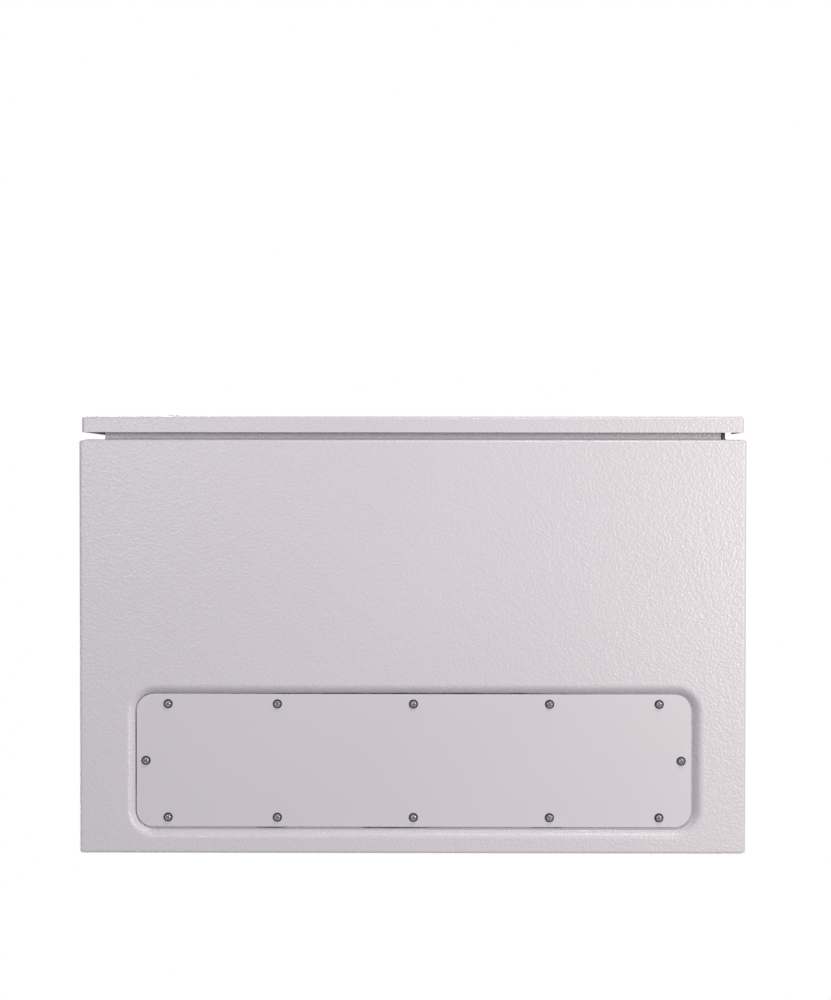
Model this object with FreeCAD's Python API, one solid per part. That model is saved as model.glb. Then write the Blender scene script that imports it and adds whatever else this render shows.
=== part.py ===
import FreeCAD, Part
import math
import os

from FreeCAD import Vector

# Wall-hung outdoor rack cabinet of folded sheet steel, 12 height units, with a hinged front door,
# a quarter-turn lock and a screwed gland plate in its base. All sizes are in millimetres.
# +Z is up and the door faces -Y. The origin is the centre of the body's underside.

# Body
BODY_WIDTH = 600.0
BODY_DEPTH = 373.0
BODY_HEIGHT = 600.0
SHEET = 1.5
BEND = 3.0
MITRE_DEPTH = 12.0

# Front frame: a flange folded in from the walls and a rim folded forward from it
RIM_INSET = 20.0
FRAME_BEND = 1.5

# Door pan
DOOR_SIDE_GAP = 2.0
DOOR_DEPTH = 14.5
DOOR_BODY_GAP = 6.5
GASKET_THICKNESS = 3.9
GASKET_WIDTH = 11.0
SEAT_GAP = 0.3

# Door stiffeners: shallow channels behind the door's front sheet, with punched slots in their faces
STIFFENER_FROM_SIDE = 80.0
STIFFENER_WIDTH = 24.0
STIFFENER_DEPTH = 11.0
STIFFENER_END = 62.0
STIFFENER_SLOT_WIDTH = 8.0
STIFFENER_SLOT_LENGTH = 12.5
STIFFENER_PITCH = 35.0

# Hinges
HINGE_INSET = 7.0
HINGE_STANDOFF = 14.1
HINGE_FROM_END = 90.0
HINGE_LENGTH = 50.0
HINGE_PIN_R = 2.0
HINGE_BORE_GAP = 0.1
HINGE_KNUCKLE_R = 3.2
HINGE_PLATE = 2.0
HINGE_ARM = 3.0
HINGE_ARM_OFFSET = 1.0
HINGE_FOOT = 8.0
HINGE_LEAF_IN = 7.4
HINGE_LEAF_OUT = 1.6
HINGE_NOTCH_MARGIN = 6.0
HINGE_PIN_END = 1.5

# Quarter-turn lock
LOCK_FROM_SIDE = 41.0
LOCK_BARREL_R = 9.0
LOCK_FLANGE_R = 15.0
LOCK_FLANGE = 5.0
LOCK_ROTOR_R = 5.5
LOCK_ROTOR_PROUD = 6.7
LOCK_ROTOR_GAP = 0.1
LOCK_SLOT = 1.6
LOCK_SLOT_DEPTH = 4.5
LOCK_NUT_R = 12.5
LOCK_NUT = 5.0
CAM_REACH = 30.0
CAM_WIDTH = 14.0
CAM_THICKNESS = 3.0
CAM_CLEARANCE = 2.0
CAM_NUT_R = 5.5
CAM_NUT = 4.0

# Gland plate and the pressed recess that holds it, which lies a hair to the right of the body's middle
PLATE_WIDTH = 500.0
PLATE_DEPTH = 120.0
PLATE_CORNER = 15.0
PLATE_FROM_BACK = 83.5
PLATE_OFF_MIDDLE = 1.0
PLATE_THICKNESS = 1.5
PLATE_GASKET = 2.0
PLATE_GASKET_INSET = 2.5
PLATE_PLAY = 1.0
RECESS_DEPTH = 7.0
RECESS_SLOPE = 5.4
RECESS_EDGE_R = 3.0
CABLE_CUT_MARGIN_X = 20.0
CABLE_CUT_MARGIN_Y = 19.0
CABLE_CUT_CORNER = 8.0
PLATE_SCREW_EDGE = 8.75
PLATE_END_SCREW_EDGE = 8.7
PLATE_CORNER_SCREW = 28.6
PLATE_INNER_SCREW_X = 122.7
PLATE_HOLE_R = 2.25
TAPPED_HOLE_R = 1.65
TAPPED_HOLE_FLATS = 8

# Wall fixing holes in the back
WALL_HOLE_R = 5.0
WALL_HOLE_INSET = 35.0

# Rack rails, to the 19 inch pattern: as many whole units as the door opening is high
UNIT_HEIGHT = 44.45
UNIT_HOLES = (6.35, 22.225, 38.1)
RAIL_HOLE_SPACING = 465.1
RAIL_OPENING = 450.0
RAIL_HOLE = 9.5
RAIL_SHEET = 2.0
RAIL_BEND = 2.0
RAIL_FACE = 28.0
RAIL_RETURN = 30.0
RAIL_END = 2.3
RAIL_SETBACK = 60.0

# Brackets that carry the rails, one at the foot and one at the head of each side wall
BRACKET_FRONT = 46.0
BRACKET_BACK = 36.0
BRACKET_LEG = 16.0
BRACKET_LAP = 9.5
BRACKET_SLOT = 6.6
BRACKET_SLOT_LENGTH = 70.0

# Earthing studs
STUD_R = 3.0
STUD_LENGTH = 16.0
STUD_FROM_FRONT = 60.0
STUD_FROM_SIDE = 60.0

# Planes and places worked out from the sizes above
FRONT_Y = -BODY_DEPTH / 2
BACK_Y = BODY_DEPTH / 2
SIDE_X = BODY_WIDTH / 2
DOOR_BACK_Y = FRONT_Y - DOOR_BODY_GAP
DOOR_FRONT_Y = DOOR_BACK_Y - DOOR_DEPTH
DOOR_INNER_Y = DOOR_FRONT_Y + SHEET
DOOR_SIDE_X = SIDE_X - DOOR_SIDE_GAP
RIM_EDGE_Y = DOOR_INNER_Y + GASKET_THICKNESS + SEAT_GAP
HINGE_X = SIDE_X - HINGE_INSET
HINGE_Y = FRONT_Y - HINGE_STANDOFF
LOCK_X = -SIDE_X + LOCK_FROM_SIDE
LOCK_Z = BODY_HEIGHT / 2
STIFFENER_X = SIDE_X - STIFFENER_FROM_SIDE
CAM_Y = FRONT_Y + SHEET + CAM_CLEARANCE
PLATE_MIDDLE = (PLATE_OFF_MIDDLE, BACK_Y - PLATE_FROM_BACK)
PLATE_Z = RECESS_DEPTH - PLATE_GASKET - PLATE_THICKNESS
OPENING_HEIGHT = BODY_HEIGHT - 2 * RIM_INSET - 2 * SHEET
UNITS = int(OPENING_HEIGHT / UNIT_HEIGHT)
RAIL_Z = BODY_HEIGHT / 2 - UNITS * UNIT_HEIGHT / 2
RAIL_LENGTH = UNITS * UNIT_HEIGHT + 2 * RAIL_END
RAIL_FRONT_Y = FRONT_Y + RAIL_SETBACK


def box(x0, x1, y0, y1, z0, z1):
    """A block between two opposite corners."""
    return Part.makeBox(x1 - x0, y1 - y0, z1 - z0, Vector(x0, y0, z0))


def rod(radius, start, end):
    """A round bar between two points."""
    span = end.sub(start)
    return Part.makeCylinder(radius, span.Length, start, span)


def edges_along(shape, axis):
    """The straight edges of a shape that run along one of its axes."""
    found = []
    for edge in shape.Edges:
        if len(edge.Vertexes) == 2:
            run = edge.Vertexes[1].Point.sub(edge.Vertexes[0].Point)
            if abs(run.normalize().dot(axis)) > 0.999:
                found.append(edge)
    return found


def soft_box(x0, x1, y0, y1, z0, z1, radius):
    """A block with all its edges rounded, as a folded and dressed sheet body has."""
    block = box(x0, x1, y0, y1, z0, z1)
    return block.makeFillet(radius, block.Edges)


def profile(points, plane, depth):
    """Extrudes a closed outline. Each point is (a, b), or (a, b, a_mid, b_mid) for an arc to that point."""
    def place(a, b):
        return {"yz": Vector(0, a, b), "xy": Vector(a, b, 0), "xz": Vector(a, 0, b)}[plane]
    edges = []
    last = place(points[-1][0], points[-1][1])
    for point in points:
        here = place(point[0], point[1])
        if len(point) == 4:
            edges.append(Part.Arc(last, place(point[2], point[3]), here).toShape())
        else:
            edges.append(Part.makeLine(last, here))
        last = here
    direction = {"yz": Vector(depth, 0, 0), "xy": Vector(0, 0, depth), "xz": Vector(0, depth, 0)}[plane]
    return Part.Face(Part.Wire(edges)).extrude(direction)


def arc_middle(centre_a, centre_b, radius, degrees):
    """A point on an arc, given by its angle."""
    angle = math.radians(degrees)
    return centre_a + radius * math.cos(angle), centre_b + radius * math.sin(angle)


def rounded_outline(width, depth, radius, centre, z):
    """A closed rectangular wire with round corners, flat at one height, round a centre in x and y."""
    a = width / 2
    b = depth / 2
    edges = []
    corners = ((a, b), (-a, b), (-a, -b), (a, -b))
    ends = []
    for quarter, (x, y) in enumerate(corners):
        cx = x - math.copysign(radius, x)
        cy = y - math.copysign(radius, y)
        stops = [arc_middle(cx, cy, radius, 90 * quarter + step) for step in (0, 45, 90)]
        arc_points = [Vector(px + centre[0], py + centre[1], z) for px, py in stops]
        ends.append(arc_points)
    for index, arc_points in enumerate(ends):
        edges.append(Part.Arc(*arc_points).toShape())
        edges.append(Part.makeLine(arc_points[2], ends[(index + 1) % 4][0]))
    return Part.Wire(edges)


def rounded_plate(width, depth, radius, centre, z0, z1):
    """A flat plate with round corners."""
    face = Part.Face(rounded_outline(width, depth, radius, centre, z0))
    return face.extrude(Vector(0, 0, z1 - z0))


def gland_screw_places():
    """The twelve fixing points of the gland plate: two rows of five and one at each end."""
    row = PLATE_DEPTH / 2 - PLATE_SCREW_EDGE
    corner = PLATE_WIDTH / 2 - PLATE_CORNER_SCREW
    end = PLATE_WIDTH / 2 - PLATE_END_SCREW_EDGE
    columns = (-corner, -PLATE_INNER_SCREW_X, 0.0, PLATE_INNER_SCREW_X, corner)
    places = [(x, side * row) for side in (-1, 1) for x in columns] + [(-end, 0.0), (end, 0.0)]
    return [(PLATE_MIDDLE[0] + x, PLATE_MIDDLE[1] + y) for x, y in places]


def drilled(shape, radius, z0, z1):
    """A shape with the twelve gland plate holes through it."""
    drills = [rod(radius, Vector(x, y, z0), Vector(x, y, z1)) for x, y in gland_screw_places()]
    return shape.cut(Part.makeCompound(drills))


def body_shell():
    """The closed skin of the body, before the front is opened and the walls are parted."""
    outer = soft_box(-SIDE_X, SIDE_X, FRONT_Y, BACK_Y, 0, BODY_HEIGHT, BEND)
    inner = box(-SIDE_X + SHEET, SIDE_X - SHEET, FRONT_Y + SHEET, BACK_Y - SHEET, SHEET, BODY_HEIGHT - SHEET)
    inner = inner.makeFillet(BEND - SHEET, edges_along(inner, Vector(0, 0, 1)))
    return outer.cut(inner)


def mitre_block(axis, end):
    """A shallow pyramid on one outer face of the body, whose 45 degree sides part the walls along their bends."""
    low = Vector(-SIDE_X, FRONT_Y, 0)
    high = Vector(SIDE_X, BACK_Y, BODY_HEIGHT)
    faces = []
    for inset in (0, MITRE_DEPTH):
        spans = [(low.x + inset, high.x - inset), (low.y + inset, high.y - inset), (low.z + inset, high.z - inset)]
        level = (low[axis] + inset) if end < 0 else (high[axis] - inset)
        others = [index for index in range(3) if index != axis]
        corners = []
        for first, second in ((0, 0), (1, 0), (1, 1), (0, 1)):
            point = [0.0, 0.0, 0.0]
            point[axis] = level
            point[others[0]] = spans[others[0]][first]
            point[others[1]] = spans[others[1]][second]
            corners.append(Vector(*point))
        faces.append(Part.makePolygon(corners + corners[:1]))
    return Part.makeLoft(faces, True, True)


def walls():
    """Base, roof, sides and back, mitred where they meet along the bends."""
    shell = body_shell()
    fixings = []
    for x in (-SIDE_X + WALL_HOLE_INSET, SIDE_X - WALL_HOLE_INSET):
        for z in (WALL_HOLE_INSET, BODY_HEIGHT - WALL_HOLE_INSET):
            fixings.append(rod(WALL_HOLE_R, Vector(x, BACK_Y - 2 * SHEET, z), Vector(x, BACK_Y + 1, z)))
    return {
        "base_panel": with_recess(shell.common(mitre_block(2, -1))),
        "roof_panel": shell.common(mitre_block(2, 1)),
        "side_wall_left": shell.common(mitre_block(0, -1)),
        "side_wall_right": shell.common(mitre_block(0, 1)),
        "back_wall": shell.common(mitre_block(1, 1)).cut(Part.makeCompound(fixings)),
    }


def with_recess(base):
    """Presses the gland plate's recess up into the base and opens its cable cut-out."""
    seat_width = PLATE_WIDTH + 2 * PLATE_PLAY
    seat_depth = PLATE_DEPTH + 2 * PLATE_PLAY
    seat_corner = PLATE_CORNER + PLATE_PLAY
    lean = RECESS_SLOPE / RECESS_DEPTH
    skin = SHEET * math.hypot(RECESS_DEPTH, RECESS_SLOPE) / RECESS_DEPTH

    def section(z, extra):
        out = RECESS_SLOPE - lean * z + extra
        return rounded_outline(seat_width + 2 * out, seat_depth + 2 * out, seat_corner + out, PLATE_MIDDLE, z)

    tub = Part.makeLoft([section(0, skin), section(RECESS_DEPTH + SHEET, skin)], True, True)
    cavity = Part.makeLoft([section(0, 0), section(RECESS_DEPTH, 0)], True, True)
    pressed = base.fuse(tub).cut(cavity).removeSplitter()
    lip = [edge for edge in pressed.Edges if is_recess_lip(edge)]
    pressed = pressed.makeFillet(RECESS_EDGE_R, lip)
    cut_out = rounded_plate(PLATE_WIDTH - 2 * CABLE_CUT_MARGIN_X, PLATE_DEPTH - 2 * CABLE_CUT_MARGIN_Y,
                            CABLE_CUT_CORNER, PLATE_MIDDLE, 0, RECESS_DEPTH + 2 * SHEET)
    pressed = pressed.cut(cut_out)
    for x, y in gland_screw_places():
        pressed = pressed.cut(screw_core(x, y))
    return pressed.removeSplitter()


def screw_core(x, y):
    """The core of one tapped hole in the gland plate's seat, drawn with flats because its thread isn't modelled."""
    step = 360 / TAPPED_HOLE_FLATS
    corners = [arc_middle(x, y, TAPPED_HOLE_R, step * index) for index in range(TAPPED_HOLE_FLATS)]
    return profile(corners, "xy", RECESS_DEPTH + 2 * SHEET)


def is_recess_lip(edge):
    """Whether an edge runs round the mouth of the recess, on the underside of the base."""
    box_of = edge.BoundBox
    level = box_of.ZMax < SHEET / 10
    inside = max(abs(box_of.XMin), abs(box_of.XMax)) < SIDE_X - 2 * BEND
    return level and inside and box_of.YMin > FRONT_Y + 2 * BEND and box_of.YMax < BACK_Y - 2 * BEND


def frame_member(length):
    """One side of the frame's folded rim, lying along X: up is inwards and -Y is forwards."""
    flange = RIM_INSET
    reach = FRONT_Y - RIM_EDGE_Y
    start = 2 * BEND
    outer_bend = FRAME_BEND + SHEET
    mid_in = arc_middle(-FRAME_BEND, flange - FRAME_BEND, FRAME_BEND, 45)
    mid_out = arc_middle(-FRAME_BEND, flange - FRAME_BEND, outer_bend, 45)
    outline = [
        (SHEET, start),
        (0.0, start),
        (0.0, flange - FRAME_BEND),
        (-FRAME_BEND, flange, mid_in[0], mid_in[1]),
        (-reach, flange),
        (-reach, flange + SHEET),
        (-FRAME_BEND, flange + SHEET),
        (SHEET, flange - FRAME_BEND, mid_out[0], mid_out[1]),
    ]
    bar = profile(outline, "yz", length)
    bar.translate(Vector(-length / 2, 0, 0))
    return bar


def front_frame():
    """The four mitred sides of the frame that the door closes on, each one piece with its share of the bends."""
    front = body_shell().common(mitre_block(1, -1))
    inside = 2 * BEND
    front = front.cut(box(-SIDE_X + inside, SIDE_X - inside, FRONT_Y - 1, FRONT_Y + MITRE_DEPTH,
                          inside, BODY_HEIGHT - inside))
    middle = BODY_HEIGHT / 2
    sides = {
        "front_frame_bottom": (BODY_WIDTH, 0, Vector(0, FRONT_Y, 0)),
        "front_frame_top": (BODY_WIDTH, 180, Vector(0, FRONT_Y, BODY_HEIGHT)),
        "front_frame_left": (BODY_HEIGHT, 90, Vector(-SIDE_X, FRONT_Y, middle)),
        "front_frame_right": (BODY_HEIGHT, -90, Vector(SIDE_X, FRONT_Y, middle)),
    }
    depth = FRONT_Y - RIM_EDGE_Y + MITRE_DEPTH
    height = RIM_INSET + 2 * SHEET
    pieces = {}
    for name, (length, turn, place) in sides.items():
        half = length / 2
        wedge = profile([(-half, 0.0), (half, 0.0), (half - height, height), (-half + height, height)], "xz", depth)
        wedge.translate(Vector(0, RIM_EDGE_Y - FRONT_Y - SHEET, 0))
        rim = frame_member(length).common(wedge)
        for shape in (wedge, rim):
            shape.rotate(Vector(0, 0, 0), Vector(0, 1, 0), turn)
            shape.translate(place)
        pieces[name] = front.common(wedge).fuse(rim).removeSplitter()
    return pieces


def gland_plate():
    """The screwed cover plate of the cable cut-out, and behind it the soft gasket that the screws pierce."""
    top = PLATE_Z + PLATE_THICKNESS
    plate = rounded_plate(PLATE_WIDTH, PLATE_DEPTH, PLATE_CORNER, PLATE_MIDDLE, PLATE_Z, top)
    gasket = rounded_plate(PLATE_WIDTH - 2 * PLATE_GASKET_INSET, PLATE_DEPTH - 2 * PLATE_GASKET_INSET,
                           PLATE_CORNER - PLATE_GASKET_INSET, PLATE_MIDDLE, top, top + PLATE_GASKET)
    hole = rounded_plate(PLATE_WIDTH - 2 * CABLE_CUT_MARGIN_X, PLATE_DEPTH - 2 * CABLE_CUT_MARGIN_Y,
                         CABLE_CUT_CORNER, PLATE_MIDDLE, top, top + PLATE_GASKET)
    return {
        "gland_plate": drilled(plate, PLATE_HOLE_R, PLATE_Z, top),
        "gland_gasket": gasket.cut(hole),
    }


def rack_rail(side):
    """An angle rail with a front face of square holes and a return along its outer edge."""
    inner = RAIL_OPENING / 2
    outer = inner + RAIL_FACE
    front = RAIL_FRONT_Y
    back = front + RAIL_RETURN
    out_r = RAIL_BEND + RAIL_SHEET
    mid_out = arc_middle(outer - out_r, front + out_r, out_r, -45)
    mid_in = arc_middle(outer - out_r, front + out_r, RAIL_BEND, -45)
    outline = [
        (inner, front),
        (outer - out_r, front),
        (outer, front + out_r, mid_out[0], mid_out[1]),
        (outer, back),
        (outer - RAIL_SHEET, back),
        (outer - RAIL_SHEET, front + out_r),
        (outer - out_r, front + RAIL_SHEET, mid_in[0], mid_in[1]),
        (inner, front + RAIL_SHEET),
    ]
    rail = profile(outline, "xy", RAIL_LENGTH)
    rail.translate(Vector(0, 0, RAIL_Z - RAIL_END))
    holes = []
    hole_x = RAIL_HOLE_SPACING / 2
    half = RAIL_HOLE / 2
    for unit in range(UNITS):
        for step in UNIT_HOLES:
            z = RAIL_Z + unit * UNIT_HEIGHT + step
            holes.append(box(hole_x - half, hole_x + half, front - 1, front + RAIL_SHEET + 1, z - half, z + half))
    rail = rail.cut(Part.makeCompound(holes))
    return mirrored(rail, side)


def mirrored(shape, side):
    """A right-hand piece as it is, or its mirror image for the left."""
    if side > 0:
        return shape
    return shape.mirror(Vector(0, 0, 0), Vector(1, 0, 0))


def rail_bracket(side, upper):
    """An angle along the side wall whose level leg carries the end of a rail."""
    wall = SIDE_X - SHEET
    inner = RAIL_OPENING / 2 + RAIL_FACE - BRACKET_LAP
    rail_foot = RAIL_Z - RAIL_END
    front = FRONT_Y + BRACKET_FRONT
    back = BACK_Y - BRACKET_BACK
    level = box(inner, wall, front, back, rail_foot - RAIL_SHEET, rail_foot)
    leg = box(wall - RAIL_SHEET, wall, front, back, rail_foot - BRACKET_LEG, rail_foot)
    angle = level.fuse(leg).removeSplitter()
    slot_x = (inner + wall) / 2 + BRACKET_SLOT
    middle = (front + back) / 2
    half = BRACKET_SLOT_LENGTH / 2
    for place in (-1, 1):
        y = middle + place * (back - front) / 4
        slot = box(slot_x - BRACKET_SLOT / 2, slot_x + BRACKET_SLOT / 2, y - half, y + half,
                   rail_foot - 2 * RAIL_SHEET, rail_foot + 1)
        angle = angle.cut(slot)
    if upper:
        angle = angle.mirror(Vector(0, 0, BODY_HEIGHT / 2), Vector(0, 0, 1))
    return mirrored(angle, side)


def earth_stud(x, y, z, direction):
    """A stud welded to a sheet."""
    start = Vector(x, y, z)
    return rod(STUD_R, start, start.add(direction * STUD_LENGTH))


def hinge_heights():
    """The lower end of each hinge."""
    return {
        "lower": HINGE_FROM_END - HINGE_LENGTH / 2,
        "upper": BODY_HEIGHT - HINGE_FROM_END - HINGE_LENGTH / 2,
    }


def knuckle(z0, z1, bore):
    """A hinge barrel about the pin."""
    barrel = rod(HINGE_KNUCKLE_R, Vector(HINGE_X, HINGE_Y, z0), Vector(HINGE_X, HINGE_Y, z1))
    return barrel, rod(bore, Vector(HINGE_X, HINGE_Y, z0 - 1), Vector(HINGE_X, HINGE_Y, z1 + 1))


def hinge_bracket(z):
    """The body's half of a hinge: a foot on the front flange, an arm and the lower barrel."""
    middle = z + HINGE_LENGTH / 2
    arm_right = HINGE_X - HINGE_ARM_OFFSET
    arm_left = arm_right - HINGE_ARM
    foot_y = FRONT_Y - HINGE_PLATE
    foot = box(arm_left - HINGE_FOOT / 2, arm_right + 1, foot_y, FRONT_Y, z, z + HINGE_LENGTH)
    arm = box(arm_left, arm_right, HINGE_Y, foot_y, z, middle)
    barrel, bore = knuckle(z, middle, HINGE_PIN_R)
    return foot.fuse([arm, barrel]).cut(bore).removeSplitter()


def hinge_leaf(z):
    """The door's half of a hinge: a plate on the door's inner face and the upper barrel."""
    middle = z + HINGE_LENGTH / 2 + SEAT_GAP
    top = z + HINGE_LENGTH
    plate_y = DOOR_INNER_Y + HINGE_PLATE
    plate = box(HINGE_X - HINGE_LEAF_IN, HINGE_X + HINGE_LEAF_OUT, DOOR_INNER_Y, plate_y, z, top)
    web = box(HINGE_X - HINGE_KNUCKLE_R, HINGE_X, DOOR_INNER_Y, HINGE_Y, middle, top)
    barrel, bore = knuckle(middle, top, HINGE_PIN_R + HINGE_BORE_GAP)
    space = rod(HINGE_KNUCKLE_R + SEAT_GAP, Vector(HINGE_X, HINGE_Y, z - 1), Vector(HINGE_X, HINGE_Y, middle))
    return plate.cut(space).fuse([web, barrel]).cut(bore).removeSplitter()


def hinge_pin(z):
    """A pin, pressed into the lower barrel and running in the upper one."""
    foot = Vector(HINGE_X, HINGE_Y, z)
    return rod(HINGE_PIN_R, foot, foot.add(Vector(0, 0, HINGE_LENGTH + HINGE_PIN_END)))


def door_panel():
    """The door: one sheet folded back on all four sides, notched at the hinges and drilled for the lock."""
    low = DOOR_SIDE_GAP
    high = BODY_HEIGHT - DOOR_SIDE_GAP
    beyond = DOOR_BACK_Y + 2 * BEND
    outer = soft_box(-DOOR_SIDE_X, DOOR_SIDE_X, DOOR_FRONT_Y, beyond, low, high, BEND)
    inner = box(-DOOR_SIDE_X + SHEET, DOOR_SIDE_X - SHEET, DOOR_INNER_Y, beyond + 1, low + SHEET, high - SHEET)
    pan = outer.cut(inner)
    pan = pan.common(box(-SIDE_X, SIDE_X, DOOR_FRONT_Y, DOOR_BACK_Y, 0, BODY_HEIGHT))
    for z in hinge_heights().values():
        notch = box(HINGE_X, SIDE_X + 1, DOOR_FRONT_Y + BEND, DOOR_BACK_Y + 1,
                    z - HINGE_NOTCH_MARGIN, z + HINGE_LENGTH + HINGE_NOTCH_MARGIN)
        pan = pan.cut(notch)
    lock_hole = rod(LOCK_BARREL_R, Vector(LOCK_X, DOOR_FRONT_Y - 1, LOCK_Z), Vector(LOCK_X, DOOR_BACK_Y, LOCK_Z))
    return pan.cut(lock_hole)


def door_gasket():
    """The foamed strip inside the door that the rim closes on."""
    line = RIM_INSET + SHEET / 2
    out = line - GASKET_WIDTH / 2
    inn = line + GASKET_WIDTH / 2
    back = DOOR_INNER_Y + GASKET_THICKNESS
    outer = box(-SIDE_X + out, SIDE_X - out, DOOR_INNER_Y, back, out, BODY_HEIGHT - out)
    inner = box(-SIDE_X + inn, SIDE_X - inn, DOOR_INNER_Y - 1, back + 1, inn, BODY_HEIGHT - inn)
    outer = outer.makeFillet(GASKET_WIDTH * 0.9, edges_along(outer, Vector(0, 1, 0)))
    return outer.cut(inner)


def door_stiffener(side):
    """A channel along the door's height with a row of punched slots in its face."""
    x0 = STIFFENER_X - STIFFENER_WIDTH / 2
    x1 = STIFFENER_X + STIFFENER_WIDTH / 2
    z0 = STIFFENER_END
    z1 = BODY_HEIGHT - STIFFENER_END
    back = DOOR_INNER_Y + STIFFENER_DEPTH
    bar = box(x0, x1, DOOR_INNER_Y, back, z0, z1)
    bends = [edge for edge in edges_along(bar, Vector(0, 0, 1)) if edge.CenterOfMass.y > back - SHEET]
    bar = bar.makeFillet(BEND, bends)
    bar = bar.cut(box(x0 + SHEET, x1 - SHEET, DOOR_INNER_Y, back - SHEET, z0, z1))
    count = int((z1 - z0) / STIFFENER_PITCH) - 1
    start = (z0 + z1) / 2 - (count - 1) * STIFFENER_PITCH / 2
    slots = []
    for index in range(count):
        z = start + index * STIFFENER_PITCH
        slots.append(box(STIFFENER_X - STIFFENER_SLOT_WIDTH / 2, STIFFENER_X + STIFFENER_SLOT_WIDTH / 2,
                         back - 2 * SHEET, back + 1,
                         z - STIFFENER_SLOT_LENGTH / 2, z + STIFFENER_SLOT_LENGTH / 2))
    return mirrored(bar.cut(Part.makeCompound(slots)), side)


def lock_pieces():
    """The lock's housing and nut, and the rotor and cam that turn together inside them."""
    def at(y):
        return Vector(LOCK_X, y, LOCK_Z)

    flange_y = DOOR_FRONT_Y - LOCK_FLANGE
    barrel_end = CAM_Y - SEAT_GAP
    flange = Part.makeCone(LOCK_FLANGE_R, LOCK_FLANGE_R - 2, LOCK_FLANGE, at(DOOR_FRONT_Y), Vector(0, -1, 0))
    housing = flange.fuse(rod(LOCK_BARREL_R, at(DOOR_FRONT_Y), at(barrel_end)))
    housing = housing.cut(rod(LOCK_ROTOR_R + LOCK_ROTOR_GAP, at(flange_y - 1), at(barrel_end + 1)))
    nut = hexagon(LOCK_NUT_R, LOCK_NUT, DOOR_INNER_Y, LOCK_X, LOCK_Z)
    nut = nut.cut(rod(LOCK_BARREL_R, at(DOOR_INNER_Y - 1), at(DOOR_INNER_Y + LOCK_NUT + 1)))
    tip_y = flange_y - LOCK_ROTOR_PROUD
    rotor = rod(LOCK_ROTOR_R, at(tip_y), at(CAM_Y))
    slot = box(LOCK_X - LOCK_SLOT / 2, LOCK_X + LOCK_SLOT / 2, tip_y - 1, tip_y + LOCK_SLOT_DEPTH,
               LOCK_Z - LOCK_ROTOR_R - 1, LOCK_Z + LOCK_ROTOR_R + 1)
    rotor = rotor.cut(slot)
    cam_nut = hexagon(CAM_NUT_R, CAM_NUT, CAM_Y + CAM_THICKNESS, LOCK_X, LOCK_Z)
    return {
        "lock_housing": housing.removeSplitter(),
        "lock_nut": nut,
        "lock_rotor": rotor,
        "lock_cam": cam_plate(),
        "lock_cam_nut": cam_nut,
    }


def cam_plate():
    """The flat latch cam, round at both ends, that stands up when the lock is open."""
    half = CAM_WIDTH / 2
    top = LOCK_Z + CAM_REACH - half
    edges = [
        Part.makeLine(Vector(LOCK_X + half, CAM_Y, LOCK_Z), Vector(LOCK_X + half, CAM_Y, top)),
        Part.Arc(Vector(LOCK_X + half, CAM_Y, top), Vector(LOCK_X, CAM_Y, top + half),
                 Vector(LOCK_X - half, CAM_Y, top)).toShape(),
        Part.makeLine(Vector(LOCK_X - half, CAM_Y, top), Vector(LOCK_X - half, CAM_Y, LOCK_Z)),
        Part.Arc(Vector(LOCK_X - half, CAM_Y, LOCK_Z), Vector(LOCK_X, CAM_Y, LOCK_Z - half),
                 Vector(LOCK_X + half, CAM_Y, LOCK_Z)).toShape(),
    ]
    return Part.Face(Part.Wire(edges)).extrude(Vector(0, CAM_THICKNESS, 0))


def hexagon(radius, thickness, y, x, z):
    """A hexagonal nut blank lying across the Y axis, its radius measured to the corners."""
    corners = [arc_middle(x, z, radius, 60 * index) for index in range(6)]
    blank = profile(corners, "xz", thickness)
    blank.translate(Vector(0, y, 0))
    return blank


def pieces():
    """Every node of the cabinet by name."""
    made = walls()
    made.update(front_frame())
    made.update(gland_plate())
    for name, side in (("left", -1), ("right", 1)):
        made["rack_rail_" + name] = rack_rail(side)
        made["rail_bracket_" + name + "_lower"] = rail_bracket(side, False)
        made["rail_bracket_" + name + "_upper"] = rail_bracket(side, True)
        made["door_stiffener_" + name] = door_stiffener(side)
    for name, z in hinge_heights().items():
        made["hinge_bracket_" + name] = hinge_bracket(z)
        made["hinge_leaf_" + name] = hinge_leaf(z)
        made["hinge_pin_" + name] = hinge_pin(z)
    stud_x = SIDE_X - STUD_FROM_SIDE
    made["earth_stud_body"] = earth_stud(stud_x, FRONT_Y + STUD_FROM_FRONT, SHEET, Vector(0, 0, 1))
    made["earth_stud_door"] = earth_stud(stud_x, DOOR_INNER_Y, STUD_FROM_FRONT, Vector(0, 1, 0))
    made["door_panel"] = door_panel()
    made["door_gasket"] = door_gasket()
    made.update(lock_pieces())
    return made


def main():
    os.makedirs("parts", exist_ok=True)
    for name, shape in pieces().items():
        if len(shape.Solids) != 1 or not shape.isValid():
            raise ValueError(name + " is not one valid solid")
        shape.Solids[0].exportStep("parts/" + name + ".step")


main()
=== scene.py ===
"""Dresses the wall-hung outdoor rack cabinet: coats, seals, screws and the studio it is seen in.

Lengths are in metres unless their name ends in _mm or _MM. What stands on a construction piece takes its place
from that piece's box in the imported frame.
"""

import math

import bmesh
import bpy
import numpy as np
from bpy.props import FloatProperty, PointerProperty, StringProperty
from mathutils import Matrix, Vector


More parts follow.
